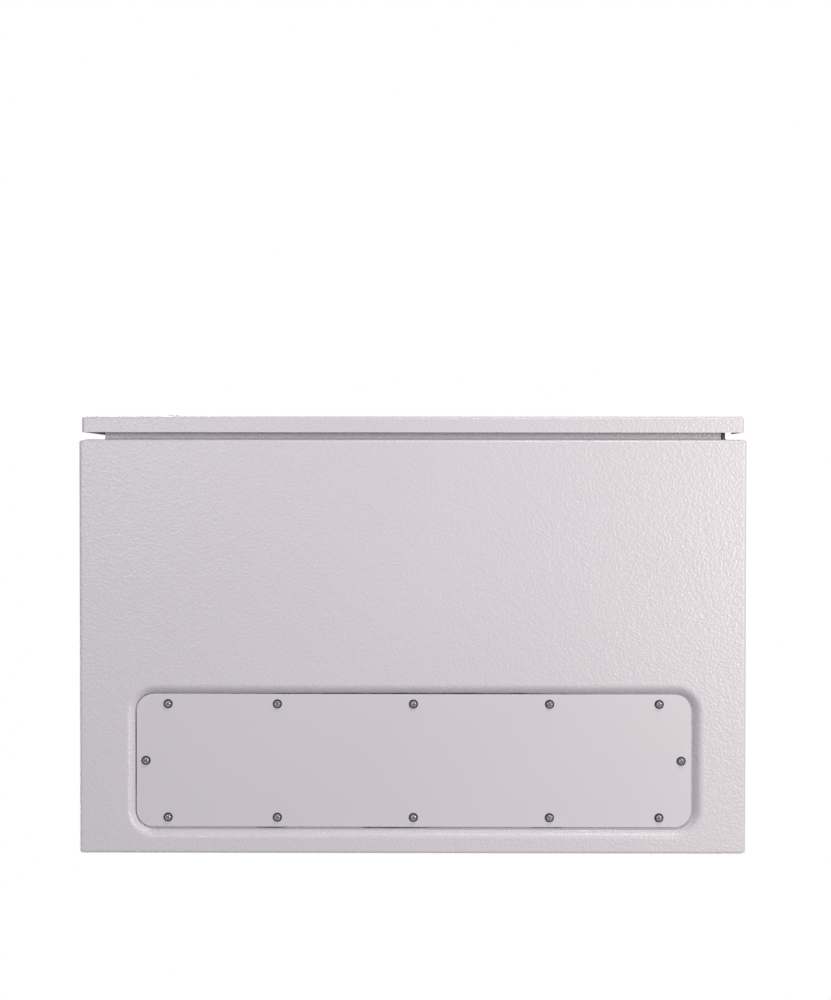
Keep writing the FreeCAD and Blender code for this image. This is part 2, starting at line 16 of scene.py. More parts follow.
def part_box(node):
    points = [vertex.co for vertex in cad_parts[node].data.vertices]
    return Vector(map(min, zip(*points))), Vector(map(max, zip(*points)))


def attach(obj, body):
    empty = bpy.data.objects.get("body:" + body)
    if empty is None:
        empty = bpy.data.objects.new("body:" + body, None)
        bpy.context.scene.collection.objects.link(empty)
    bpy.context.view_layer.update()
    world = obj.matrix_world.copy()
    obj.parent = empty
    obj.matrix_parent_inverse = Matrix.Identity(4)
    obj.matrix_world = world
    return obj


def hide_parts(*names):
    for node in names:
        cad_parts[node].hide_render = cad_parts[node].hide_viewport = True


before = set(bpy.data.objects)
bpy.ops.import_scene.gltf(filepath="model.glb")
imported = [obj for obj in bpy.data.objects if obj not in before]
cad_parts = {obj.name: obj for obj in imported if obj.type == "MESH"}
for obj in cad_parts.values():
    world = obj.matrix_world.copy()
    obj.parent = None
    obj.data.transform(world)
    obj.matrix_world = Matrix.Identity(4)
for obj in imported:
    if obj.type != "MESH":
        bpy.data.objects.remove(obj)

bl_info = {
    "name": "Rack cabinet dressing",
    "version": (1, 0, 0),
    "blender": (4, 5, 0),
    "location": "3D View > Sidebar > Cabinet",
    "description": "Adds the coats, screws and pressed skins of a wall-hung rack cabinet",
    "category": "Add Mesh",
}

MM = 0.001

# The camera that took the photograph from below: its place, its turns in degrees and its focal length in pixels
# of a frame that is 1000 pixels high.
PHOTO_HEIGHT_PX = 1000
CAMERA_PLACE = (0.0087, -0.1521, -1.5)
CAMERA_PAN = -0.233
CAMERA_TILT = 0.760
CAMERA_ROLL = -0.057
CAMERA_FOCAL_PX = 1670.4
SENSOR_MM = 36.0

# Steps in each quarter circle of a rounded rectangle, and points round a washer, a shank and a hexagon.
RING_STEPS = 12
WASHER_POINTS = 40
SHANK_POINTS = 20
THREAD_POINTS = 24
HEXAGON_POINTS = 72

# Edges sharper than these angles, in degrees, stay sharp.
SHARP_SHEET = 35.0
SHARP_SCREW = 50.0
SHARP_FIXING = 30.0

# A second ring this close to a bend keeps the shading of the flat beside it flat.
BEND_GUARD = 0.3 * MM
SEAT_GUARD = 0.2 * MM

# The gland plate's screws: the driver recess's arm width, arm length and depth, the shank's radius, how far it runs
# past the seat, its bevelled tip, and how far each screw is turned from the last, in degrees.
DRIVER_WIDTH = 0.95 * MM
DRIVER_LENGTH = 3.4 * MM
DRIVER_DEPTH = 1.0 * MM
SHANK_RADIUS = 1.95 * MM
SHANK_PAST_SEAT = 4.5 * MM
SHANK_TIP = 0.6 * MM
SCREW_TURN = 37

# The fixings of rails and brackets: washer, bolt head and nut, and how far a thread stands past its washer's seat.
FIXING_WASHER_RADIUS = 6.0 * MM
FIXING_WASHER = 1.2 * MM
BOLT_HEAD = 4.0 * MM
NUT_HEIGHT = 5.0 * MM
THREAD_PAST_SEAT = 9.5 * MM
BRACKET_SHEET = 2.0 * MM
BRACKET_STUD_INSET = 22.0 * MM
BRACKET_STUD_OFFSET = 1.0 * MM

# The cleats: sheet, legs, bend, their two ends along Y, and where their bolts sit.
CLEAT_SHEET = 2.0 * MM
CLEAT_REACH = 34.0 * MM
CLEAT_RISE = 24.0 * MM
CLEAT_BEND = 3.0 * MM
CLEAT_FRONT = -108.0 * MM
CLEAT_REAR = -81.0 * MM
CLEAT_BEVEL = 0.5 * MM
RETURN_BOLT_Y = -101.5 * MM
RETURN_BOLT_RISE = 15.0 * MM
SLOT_BOLT_Y = -90.0 * MM

# The earth studs' fixings, stacked from the sheet: flat washer, toothed washer, nut and the thread's end.
EARTH_WASHER_RADIUS = 6.3 * MM
EARTH_WASHER = 1.6 * MM
TOOTHED_RADIUS = 5.9 * MM
TOOTHED_WASHER = 1.1 * MM
EARTH_NUT_FLATS = 10.0 * MM
EARTH_NUT_SEAT = 2.6 * MM
EARTH_THREAD_SEAT = 7.4 * MM
EARTH_THREAD_LENGTH = 8.4 * MM
EARTH_THREAD_CREST = 0.12 * MM

# The floor: half its side, its level, and the distance within which gloss sees through it.
FLOOR_REACH = 40.0
FLOOR_LEVEL = -0.0006
FLOOR_HIDES_WITHIN = 0.05


def linear(hex_colour):
    """An sRGB colour written as #RRGGBB, turned to the linear values that a shader wants."""
    parts = [int(hex_colour[i:i + 2], 16) / 255 for i in (1, 3, 5)]
    curved = [c / 12.92 if c <= 0.04045 else ((c + 0.055) / 1.055) ** 2.4 for c in parts]
    return (*curved, 1.0)


def add(tree, kind, links=None, **settings):
    """Adds one shader node: settings name its properties or inputs, and links name what feeds an input."""
    node = tree.nodes.new(kind)
    for name, value in settings.items():
        if hasattr(node, name):
            setattr(node, name, value)
        else:
            node.inputs[name.replace("_", " ")].default_value = value
    for name, socket in (links or {}).items():
        tree.links.new(socket, node.inputs[name])
    return node


def toned(colour, factor):
    """A linear colour made lighter or darker by a factor, no channel past 1."""
    return (*(min(1.0, channel * factor) for channel in colour[:3]), 1.0)


def two_tone(tree, factor, first, second):
    """A mix of two colours by a factor socket; its colour socket is given back."""
    mix = add(tree, "ShaderNodeMix", {"Factor": factor}, data_type="RGBA")
    mix.inputs[6].default_value = first
    mix.inputs[7].default_value = second
    return mix.outputs[2]


def new_material(name):
    """A node material with one Principled shader, and its Object coordinates."""
    material = bpy.data.materials.new(name)
    material.use_nodes = True
    tree = material.node_tree
    shader = tree.nodes["Principled BSDF"]
    place = tree.nodes.new("ShaderNodeTexCoord").outputs["Object"]
    return material, tree, shader, place


def powder_coat(name, colour, grain_mm, depth_mm, roughness):
    """Polyester powder coat, baked on sheet steel: a semi-matt skin that flows into a fine leathery relief.

    The relief is cells about grain_mm across with softened edges, with a slower wave under them, as baked
    powder draws into. Its shade drifts very slightly over the sheet, and a few specks of dust sit in it.
    """
    material, tree, shader, place = new_material(name)
    cells = add(tree, "ShaderNodeTexVoronoi", {"Vector": place}, feature="SMOOTH_F1", Scale=1 / (grain_mm * MM),
                Smoothness=0.7)
    fine = add(tree, "ShaderNodeTexNoise", {"Vector": place}, Scale=1.4 / (grain_mm * MM), Detail=3.0,
               Roughness=0.55)
    slow = add(tree, "ShaderNodeTexNoise", {"Vector": place}, Scale=1 / (14 * MM), Detail=2.0)
    relief = add(tree, "ShaderNodeMath", {0: fine.outputs["Fac"], 1: cells.outputs["Distance"]},
                 operation="SUBTRACT")
    relief = add(tree, "ShaderNodeMath", {0: slow.outputs["Fac"], 2: relief.outputs[0]}, operation="MULTIPLY_ADD")
    relief.inputs[1].default_value = 0.8
    bump = add(tree, "ShaderNodeBump", {"Height": relief.outputs[0]}, Distance=depth_mm * MM, Strength=1.0)
    tree.links.new(bump.outputs["Normal"], shader.inputs["Normal"])
    drift = add(tree, "ShaderNodeTexNoise", {"Vector": place}, Scale=1 / (260 * MM), Detail=2.0)
    specks = add(tree, "ShaderNodeTexNoise", {"Vector": place}, Scale=1 / (5 * MM), Detail=4.0, Roughness=0.7)
    dusty = add(tree, "ShaderNodeMapRange", {"Value": specks.outputs["Fac"]}, From_Min=0.745, From_Max=0.80)
    base = linear(colour)
    shade = two_tone(tree, drift.outputs["Fac"], toned(base, 0.955), toned(base, 1.035))
    dust = add(tree, "ShaderNodeMix", {"Factor": dusty.outputs["Result"], 6: shade}, data_type="RGBA")
    dust.inputs[7].default_value = toned(base, 0.72)
    tree.links.new(dust.outputs[2], shader.inputs["Base Color"])
    rough = add(tree, "ShaderNodeMapRange", {"Value": cells.outputs["Distance"]}, From_Max=0.8,
                To_Min=roughness - 0.05, To_Max=roughness + 0.07)
    tree.links.new(rough.outputs["Result"], shader.inputs["Roughness"])
    shader.inputs["IOR"].default_value = 1.5
    return material


def galvanised_sheet(name):
    """Hot-dip galvanised sheet: zinc crystals a few millimetres wide, each a little lighter or darker."""
    material, tree, shader, place = new_material(name)
    spangle = add(tree, "ShaderNodeTexVoronoi", {"Vector": place}, Scale=1 / (9 * MM))
    bright = add(tree, "ShaderNodeMapRange", {"Value": spangle.outputs["Color"]}, To_Min=0.30, To_Max=0.48)
    tree.links.new(bright.outputs["Result"], shader.inputs["Roughness"])
    shade = two_tone(tree, spangle.outputs["Color"], linear("#A9ADB0"), linear("#BDC1C3"))
    tree.links.new(shade, shader.inputs["Base Color"])
    ripple = add(tree, "ShaderNodeTexNoise", {"Vector": place}, Scale=1 / (3 * MM), Detail=2.0)
    bump = add(tree, "ShaderNodeBump", {"Height": ripple.outputs["Fac"]}, Distance=0.02 * MM)
    tree.links.new(bump.outputs["Normal"], shader.inputs["Normal"])
    shader.inputs["Metallic"].default_value = 1.0
    return material


def bright_zinc(name, colour, roughness):
    """Bright zinc-plated turned steel: smooth, with faint machining marks and a slightly uneven passivate."""
    material, tree, shader, place = new_material(name)
    film = add(tree, "ShaderNodeTexNoise", {"Vector": place}, Scale=1 / (4 * MM), Detail=3.0)
    rough = add(tree, "ShaderNodeMapRange", {"Value": film.outputs["Fac"]}, To_Min=roughness - 0.05,
                To_Max=roughness + 0.08)
    tree.links.new(rough.outputs["Result"], shader.inputs["Roughness"])
    shade = two_tone(tree, film.outputs["Fac"], toned(linear(colour), 0.88), linear(colour))
    tree.links.new(shade, shader.inputs["Base Color"])
    shader.inputs["Metallic"].default_value = 1.0
    return material


def foam_seal(name):
    """Foamed polyurethane seal: black, matt, with a fine closed-cell skin."""
    material, tree, shader, place = new_material(name)
    cells = add(tree, "ShaderNodeTexVoronoi", {"Vector": place}, Scale=1 / (0.8 * MM))
    bump = add(tree, "ShaderNodeBump", {"Height": cells.outputs["Distance"]}, Distance=0.08 * MM, Strength=0.8)
    tree.links.new(bump.outputs["Normal"], shader.inputs["Normal"])
    mottle = add(tree, "ShaderNodeTexNoise", {"Vector": place}, Scale=1 / (6 * MM), Detail=3.0)
    shade = two_tone(tree, mottle.outputs["Fac"], linear("#1C1C1D"), linear("#2B2B2C"))
    tree.links.new(shade, shader.inputs["Base Color"])
    shader.inputs["Roughness"].default_value = 0.85
    return material


def make_materials():
    """All the finishes by name, made once."""
    kit = cabinet_settings()
    return {
        "body": powder_coat("powder_coat_leather", kit.body_colour, 2.3, 0.22, 0.23),
        "door": powder_coat("powder_coat_leather_door", kit.door_colour, 2.3, 0.22, 0.23),
        "plate": powder_coat("powder_coat_fine", kit.plate_colour, 2.6, 0.025, 0.33),
        "sheet": galvanised_sheet("galvanised_sheet"),
        "steel": bright_zinc("bright_zinc_steel", "#C6C7C6", 0.26),
        # The hinge steel is made near black, as dark as the shade in the door gap where it sits: painted shade.
        "hinge": bright_zinc("hinge_steel_darkened_painted_shade", "#46474A", 0.36),
        "screw": bright_zinc("polished_screw_steel", "#85868A", 0.13),
        "lock": bright_zinc("die_cast_zinc", "#C9C9C8", 0.2),
        "seal": foam_seal("foamed_seal"),
    }


def coat(obj, material):
    """Puts one finish in every material slot of an object."""
    if not obj.material_slots:
        obj.data.materials.append(material)
    for place in obj.material_slots:
        place.material = material


def ring_points(rows, steps=RING_STEPS):
    """Rounded rectangles, one a row: each corner is a quarter circle of the given radius, and the sides join them.

    A row is (half_x, half_y, corner radius, centre_x, centre_y, z). The result is rings by points by 3.
    """
    rows = np.asarray(rows, float)
    half_x, half_y, radius, centre_x, centre_y, z = (rows[:, i][:, None, None] for i in range(6))
    quarter = np.arange(4)[None, :, None]
    sweep = np.linspace(0, math.pi / 2, steps + 1)[None, None, :]
    angle = quarter * math.pi / 2 + sweep
    sign_x = np.where((quarter == 0) | (quarter == 3), 1.0, -1.0)
    sign_y = np.where(quarter < 2, 1.0, -1.0)
    x = sign_x * (half_x - radius) + radius * np.cos(angle) + centre_x
    y = sign_y * (half_y - radius) + radius * np.sin(angle) + centre_y
    rings = np.stack([x, y, np.broadcast_to(z, x.shape)], axis=-1)
    return rings.reshape(rings.shape[0], -1, 3)


def grid_faces(rows, columns, close_rows, close_columns):
    """Quads between neighbouring points of a grid of rows by columns, wrapping round where it is closed."""
    row = np.arange(rows if close_rows else rows - 1)[:, None]
    column = np.arange(columns if close_columns else columns - 1)[None, :]
    next_row = (row + 1) % rows
    next_column = (column + 1) % columns
    quads = [row * columns + column, row * columns + next_column,
             next_row * columns + next_column, next_row * columns + column]
    return np.stack(np.broadcast_arrays(*quads), axis=-1).reshape(-1, 4)


def mesh_object(name, points, faces, sharp=SHARP_SHEET):
    """A mesh object from arrays of points and faces, smooth except at edges sharper than the given angle."""
    mesh = bpy.data.meshes.new(name)
    mesh.from_pydata(np.asarray(points).reshape(-1, 3).tolist(), [], [list(face) for face in faces])
    mesh.validate()
    mesh.shade_smooth()
    mesh.set_sharp_from_angle(angle=math.radians(sharp))
    obj = bpy.data.objects.new(name, mesh)
    bpy.context.scene.collection.objects.link(obj)
    return obj


def face_outwards(obj):
    """Merges doubled points and turns every face of a closed mesh outwards."""
    work = bmesh.new()
    work.from_mesh(obj.data)
    bmesh.ops.remove_doubles(work, verts=work.verts, dist=0.00001)
    bmesh.ops.recalc_face_normals(work, faces=work.faces)
    work.to_mesh(obj.data)
    work.free()


def turned(profile, count):
    """Points of a profile of (radius, height) pairs carried once round the Z axis, profile by count by 3."""
    profile = np.asarray(profile, float)
    angle = np.linspace(0, 2 * math.pi, count, endpoint=False)
    x = profile[:, :1] * np.cos(angle)[None, :]
    y = profile[:, :1] * np.sin(angle)[None, :]
    z = np.repeat(profile[:, 1:], count, axis=1)
    return np.stack([x, y, z], axis=-1)


def joined(parts):
    """Joins (points, faces) pairs into one pair, with the faces' numbers moved on."""
    points = []
    faces = []
    offset = 0
    for part_points, part_faces in parts:
        flat = part_points.reshape(-1, 3)
        points.append(flat)
        faces += [[corner + offset for corner in face] for face in part_faces]
        offset += len(flat)
    return np.concatenate(points), faces


def base_profile(settings):
    """The base's section from its mitre, under the flat, up the recess and round the cut-out to its inner side.

    Each row is (half_x, half_y, corner radius, centre_x, centre_y, z) of one ring. The outer bend is a quarter
    circle from 45 degrees, the recess is two arcs joined by a straight slope, and the inner side runs back at one
    sheet's thickness from the outer. A second ring close to each bend keeps the shading of the flats flat.
    """
    sheet = settings.sheet_mm * MM
    bend = settings.bend_mm * MM
    half_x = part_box("side_wall_right")[1].x
    half_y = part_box("back_wall")[1].y
    seat_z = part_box("gland_gasket")[1].z
    centre = (settings.recess_x_mm * MM, settings.recess_y_mm * MM)
    seat_x = settings.seat_width_mm / 2 * MM
    seat_y = settings.seat_depth_mm / 2 * MM
    run = settings.recess_slope_mm * MM
    corner = settings.seat_corner_mm * MM
    lean = math.atan2(seat_z, run)
    lip = settings.recess_lip_mm * MM
    foot = settings.recess_foot_mm * MM
    rows = []

    def outer_ring(inset, z):
        rows.append((half_x - inset, half_y - inset, max(bend - inset, 0.1 * MM), 0.0, 0.0, z))

    def recess_ring(out, z):
        rows.append((seat_x + out, seat_y + out, corner + out, *centre, z))

    for angle in np.linspace(math.pi / 4, math.pi / 2, 7):
        outer_ring(bend - bend * math.cos(angle), bend - bend * math.sin(angle))
    outer_ring(bend + BEND_GUARD, 0.0)
    lip_start = run + lip * math.tan(lean / 2)
    recess_ring(lip_start + BEND_GUARD, 0.0)
    for angle in np.linspace(0, lean, 9):
        recess_ring(lip_start - lip * math.sin(angle), lip - lip * math.cos(angle))
    foot_end = -foot * math.tan(lean / 2)
    for angle in np.linspace(lean, 0, 7):
        recess_ring(foot_end + foot * math.sin(angle), seat_z - foot + foot * math.cos(angle))
    recess_ring(foot_end - SEAT_GUARD, seat_z)
    hole = (settings.cut_out_width_mm / 2 * MM, settings.cut_out_depth_mm / 2 * MM,
            settings.cut_out_corner_mm * MM, settings.plate_x_mm * MM, settings.plate_y_mm * MM)
    rows.append((*hole, seat_z))
    rows.append((*hole, seat_z + sheet))
    inner_foot = foot + sheet
    recess_ring(foot_end - SEAT_GUARD, seat_z + sheet)
    for angle in np.linspace(0, lean, 7):
        recess_ring(foot_end + inner_foot * math.sin(angle), seat_z - foot + inner_foot * math.cos(angle))
    inner_lip = lip - sheet
    for angle in np.linspace(lean, 0, 9):
        recess_ring(lip_start - inner_lip * math.sin(angle), lip - inner_lip * math.cos(angle))
    recess_ring(lip_start + BEND_GUARD, sheet)
    rows.append((half_x - sheet, half_y - sheet, 0.05 * MM, 0.0, 0.0, sheet))
    return rows


def make_base_skin(settings, finish):
    """The base panel as one pressed sheet: nested rounded rectangles joined ring to ring and closed on themselves."""
    points = ring_points(base_profile(settings))
    faces = grid_faces(points.shape[0], points.shape[1], True, True)
    skin = mesh_object("base_panel_pressed", points, faces[:, ::-1])
    coat(skin, finish["body"])
    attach(skin, "cabinet")
    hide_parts("base_panel")
    return skin


def screw_places(settings):
    """The gland plate's screws: two rows of five and one at each end."""
    row = settings.screw_row_mm * MM
    corner = settings.screw_corner_x_mm * MM
    inner = settings.screw_inner_x_mm * MM
    end = settings.screw_end_x_mm * MM
    columns = (-corner, -inner, 0.0, inner, corner)
    places = [(x, side * row) for side in (-1, 1) for x in columns] + [(-end, 0.0), (end, 0.0)]
    return [(settings.plate_x_mm * MM + x, settings.plate_y_mm * MM + y) for x, y in places]


def make_gland_plate(settings, finish):
    """The cover plate: rounded rectangles stacked through its thickness.

    At both faces they draw in along a quarter circle, as the rounded edge of a punched and coated plate does.
    """
    low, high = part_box("gland_plate")
    half_x = (high.x - low.x) / 2
    half_y = (high.y - low.y) / 2
    centre = ((low.x + high.x) / 2, (low.y + high.y) / 2)
    corner = settings.plate_corner_mm * MM
    edge = settings.plate_edge_mm * MM
    insets = []
    for angle in np.linspace(0, math.pi / 2, 6):
        insets.append((edge - edge * math.sin(angle), low.z + edge - edge * math.cos(angle)))
    for angle in np.linspace(math.pi / 2, 0, 6):
        insets.append((edge - edge * math.sin(angle), high.z - edge + edge * math.cos(angle)))
    insets = [(edge + SEAT_GUARD, low.z)] + insets + [(edge + SEAT_GUARD, high.z)]
    rows = [(half_x - inset, half_y - inset, corner - inset, *centre, z) for inset, z in insets]
    points = ring_points(rows)
    plate = mesh_object("gland_plate_coated", points, capped(points))
    coat(plate, finish["plate"])
    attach(plate, "cabinet")
    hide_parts("gland_plate")
    return plate


def pan_head(radius, height, slot_width, slot_length, slot_depth):
    """A pan head as heights over a polar grid, with a cross-shaped driver recess.

    The height is height * sqrt(1 - (r / radius) ** 3.4). From it the recess takes slot_depth times the larger of
    two arms, each a product of two smooth steps: across the arm over slot_width, and along it over slot_length.
    """
    spread = np.sin(np.linspace(0, math.pi / 2, 24)) ** 0.9
    reach = spread * radius
    angle = np.linspace(0, 2 * math.pi, 64, endpoint=False)
    x = reach[:, None] * np.cos(angle + 0.35)[None, :]
    y = reach[:, None] * np.sin(angle + 0.35)[None, :]
    dome = height * np.sqrt(np.clip(1 - spread ** 3.4, 0, None))[:, None]
    across = reach[:, None] * np.cos(angle)[None, :]
    along = reach[:, None] * np.sin(angle)[None, :]

    def arm(u, v):
        side = np.clip((slot_width / 2 - np.abs(u)) / (0.35 * slot_width) + 0.5, 0, 1)
        end = np.clip((slot_length / 2 - np.abs(v)) / (0.25 * slot_length) + 0.5, 0, 1)
        return side * side * (3 - 2 * side) * end * end * (3 - 2 * end)

    recess = slot_depth * np.maximum(arm(across, along), arm(along, across))
    return np.stack([x, y, -(dome - recess)], axis=-1)


def make_gland_screws(settings, finish):
    """Twelve pan-head screws on black sealing washers, which also paint the dark ring of shade and dark reflection
    round each head: heads are heights on a polar grid, shanks are turned profiles.
    """
    plate_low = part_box("gland_plate")[0]
    seat_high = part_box("gland_gasket")[1].z
    washer = settings.washer_thickness_mm * MM
    outer = settings.washer_mm / 2 * MM
    radius = settings.screw_head_mm / 2 * MM
    head = pan_head(radius, settings.screw_height_mm * MM, DRIVER_WIDTH, DRIVER_LENGTH, DRIVER_DEPTH)
    shank = SHANK_RADIUS
    length = seat_high - plate_low.z + SHANK_PAST_SEAT
    stem = turned([(shank, 0.0), (shank, length - SHANK_TIP), (shank * 0.7, length), (0.01 * shank, length)],
                  SHANK_POINTS)
    soft = 0.25 * MM
    ring = turned([(shank, 0.0), (outer - 0.05 * MM, 0.0), (outer, 0.2 * MM), (outer, washer - soft),
                   (outer - soft, washer), (radius - 0.2 * MM, washer + 0.1 * MM), (shank, washer + 0.1 * MM)],
                  WASHER_POINTS)
    ring[..., 2] *= -1
    heads = []
    rings = []
    for index, (x, y) in enumerate(screw_places(settings)):
        place = np.array([x, y, plate_low.z])
        turn = math.radians(SCREW_TURN * index)
        spin = np.array([[math.cos(turn), -math.sin(turn), 0], [math.sin(turn), math.cos(turn), 0], [0, 0, 1]])
        seated = head @ spin.T + place - np.array([0, 0, washer])
        heads.append((seated, capped(head)))
        heads.append((stem + place, capped(stem)))
        rings.append((ring + place, grid_faces(*ring.shape[:2], True, True)))
    screws = mesh_object("gland_plate_screws", *joined(heads), SHARP_SCREW)
    coat(screws, finish["screw"])
    # Black washers: sealing washers that also paint the dark ring of shade and dark reflection round each screw head.
    washers = mesh_object("gland_screw_washers_painted_dark_rim", *joined(rings), SHARP_SCREW)
    coat(washers, finish["seal"])
    for piece in (screws, washers):
        face_outwards(piece)
        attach(piece, "cabinet")
    return screws, washers


# Where the plate's seal peeps out at its edge, as the photograph shows, and where the black strip paints the shadow in
# the gap at the plate's edge: the middle of the stretch and half its length, and how far it shows. Elsewhere it ends a
# little inside the edge, and nowhere does it show more than the most.
SEAL_AND_SHADOW_BULGES_MM = ((-2.0, 43.0, 196.0, 0.75), (-249.0, 98.0, 46.0, 1.1), (-15.0, 163.0, 26.0, 1.1),
                  (-128.0, 163.0, 14.0, 0.9), (122.0, 163.0, 14.0, 0.9), (236.0, 57.0, 9.0, 0.6))
SEAL_AND_SHADOW_HIDDEN_MM = 1.2
SEAL_AND_SHADOW_MOST_MM = 1.1
SEAL_AND_SHADOW_STRIP = 4.0 * MM
SEAL_AND_SHADOW_POINTS = 900


def along_outline(outline, count):
    """A closed outline sampled at even steps of its length, so that a long side has as many points as it needs."""
    closed = np.concatenate([outline, outline[:1]])
    length = np.concatenate([[0.0], np.cumsum(np.linalg.norm(np.diff(closed, axis=0), axis=1))])
    even = np.linspace(0.0, length[-1], count, endpoint=False)
    return np.stack([np.interp(even, length, closed[:, i]) for i in range(3)], axis=-1)


def make_seal_lip_and_painted_shadow(settings, finish):
    """The plate's foam seal where the screws squeeze it out, and painted shadow: a flat black strip along the plate's
    outline whose bulges lie where the gap at the plate's edge is dark with shade.

    Its outer edge is the outline drawn in by 1.2 mm, moved out by bulges that fade as exp(-(distance / half
    length) to the fourth), and a small ripple of two sines along the edge.
    """
    low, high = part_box("gland_plate")
    half_x = (high.x - low.x) / 2
    half_y = (high.y - low.y) / 2
    corner = settings.plate_corner_mm * MM
    centre = ((low.x + high.x) / 2, (low.y + high.y) / 2)
    rings = ring_points([(half_x - SEAL_AND_SHADOW_STRIP, half_y - SEAL_AND_SHADOW_STRIP, corner - SEAL_AND_SHADOW_STRIP, *centre, 0.0),
                         (half_x, half_y, corner, *centre, 0.0)])
    count = SEAL_AND_SHADOW_POINTS
    inner = along_outline(rings[0], count)
    edge = along_outline(rings[1], count)
    outward = edge - inner
    outward /= np.linalg.norm(outward, axis=1)[:, None]
    show = np.full(count, -SEAL_AND_SHADOW_HIDDEN_MM)
    for x, y, half, peek in SEAL_AND_SHADOW_BULGES_MM:
        away = np.hypot(edge[:, 0] / MM - x, edge[:, 1] / MM - y)
        show += (peek + SEAL_AND_SHADOW_HIDDEN_MM) * np.exp(-(away / half) ** 4)
    step = np.arange(count) * 2 * math.pi / count
    show = np.minimum(show, SEAL_AND_SHADOW_MOST_MM) + 0.10 * np.sin(23 * step) + 0.07 * np.sin(57 * step + 1.0)
    outer = edge + outward * show[:, None] * MM
    heights = (high.z + 0.02 * MM, high.z + 0.15 * MM, high.z + 0.55 * MM, high.z + 0.75 * MM)
    section = np.stack([inner, outer - outward * 0.15 * MM, outer, inner])
    section[..., 2] = np.array(heights)[:, None]
    # The strip is black: partly the squeezed-out seal, partly painted shadow in the gap at the plate's edge.
    lip = mesh_object("gland_seal_lip_and_painted_shadow", section, grid_faces(4, count, True, True), SHARP_SCREW)
    coat(lip, finish["seal"])
    face_outwards(lip)
    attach(lip, "cabinet")
    return lip


def placed(points, along, place):
    """Turns points made about the Z axis so that Z runs along a direction, and moves them to a place."""
    along = Vector(along).normalized()
    turn = np.array(Vector((0, 0, 1)).rotation_difference(along).to_matrix())
    return points @ turn.T + np.asarray(place, float)


def hexagon_points(width_over_flats, height, chamfer, steps=5):
    """A hex nut or head standing on its Z axis: rings whose radius is the lesser of a hexagon and a chamfer circle.

    Round the axis the hexagon's radius is half its width over the flats, divided by the cosine of the angle from
    the nearest flat's middle. Through the chamfer the circle shrinks by the square of the way gone, which cuts the
    corners.
    """
    angle = np.linspace(0, 2 * math.pi, HEXAGON_POINTS, endpoint=False)
    sector = math.pi / 3
    from_flat = np.mod(angle + sector / 2, sector) - sector / 2
    hexagon = width_over_flats / 2 / np.cos(from_flat)
    corner = width_over_flats / 2 / math.cos(sector / 2)
    near_end = np.linspace(0, 1, steps)
    heights = np.concatenate([near_end * chamfer, height - near_end[::-1] * chamfer])
    limit = corner - (corner - 0.47 * width_over_flats) * (1 - near_end) ** 2
    limit = np.concatenate([limit, limit[::-1]])
    reach = np.minimum(hexagon[None, :], limit[:, None])
    levels = np.repeat(heights[:, None], HEXAGON_POINTS, axis=1)
    return np.stack([reach * np.cos(angle), reach * np.sin(angle), levels], axis=-1)


def capped(points):
    """Faces of a closed stack of rings: the sides and one flat face at each end."""
    rows, count = points.shape[:2]
    faces = grid_faces(rows, count, False, True).tolist()
    faces.append(list(range(count))[::-1])
    faces.append(list(range((rows - 1) * count, rows * count)))
    return faces


def hex_nut(along, place, flats, height):
    """A hex nut with chamfered corners about a thread that fills its bore."""
    ring = hexagon_points(flats, height, 0.14 * flats)
    return [(placed(ring, along, place), capped(ring))]


def thread_end(along, place, radius, length, pitch=1.0 * MM):
    """A threaded end: the radius swings in a triangle wave along the axis, and its tip is bevelled."""
    steps = max(8, int(length / pitch * 4))
    z = np.linspace(0, length, steps + 1)
    wave = np.abs(np.mod(z / pitch, 1.0) - 0.5) * 2
    reach = radius - 0.30 * MM * wave
    reach[-1] = radius * 0.72
    ring = turned(np.stack([reach, z], axis=1), THREAD_POINTS)
    return [(placed(ring, along, place), capped(ring))]


def flat_washer(along, place, outer, inner, thickness):
    """A flat washer: a softened rectangle carried round the axis."""
    soft = min(0.25 * MM, thickness / 3)
    section = [(inner, 0.0), (outer - soft, 0.0), (outer, soft), (outer, thickness - soft),
               (outer - soft, thickness), (inner, thickness)]
    ring = turned(section, WASHER_POINTS)
    faces = grid_faces(ring.shape[0], ring.shape[1], True, True)
    return [(placed(ring, along, place), faces)]


def seated_nut(along, seat, flats, height, radius):
    """A nut or bolt head on its flat washer, which lies on a seat and faces along a direction."""
    washer = flat_washer(along, seat, FIXING_WASHER_RADIUS, radius * 0.9, FIXING_WASHER)
    return washer + hex_nut(along, seat + along * FIXING_WASHER, flats, height)


def nut_on_thread(along, seat, flats, radius):
    """A washer, a nut and the thread's end that stands out of it."""
    return seated_nut(along, seat, flats, NUT_HEIGHT, radius) + thread_end(along, seat, radius, THREAD_PAST_SEAT)


def bolt_through(along, seat, grip, flats, radius):
    """A bolt through sheets of the given grip: its head faces along a direction and its nut is at the far side."""
    head = seated_nut(along, seat, flats, BOLT_HEAD, radius)
    return head + nut_on_thread(-along, seat - along * grip, flats, radius)


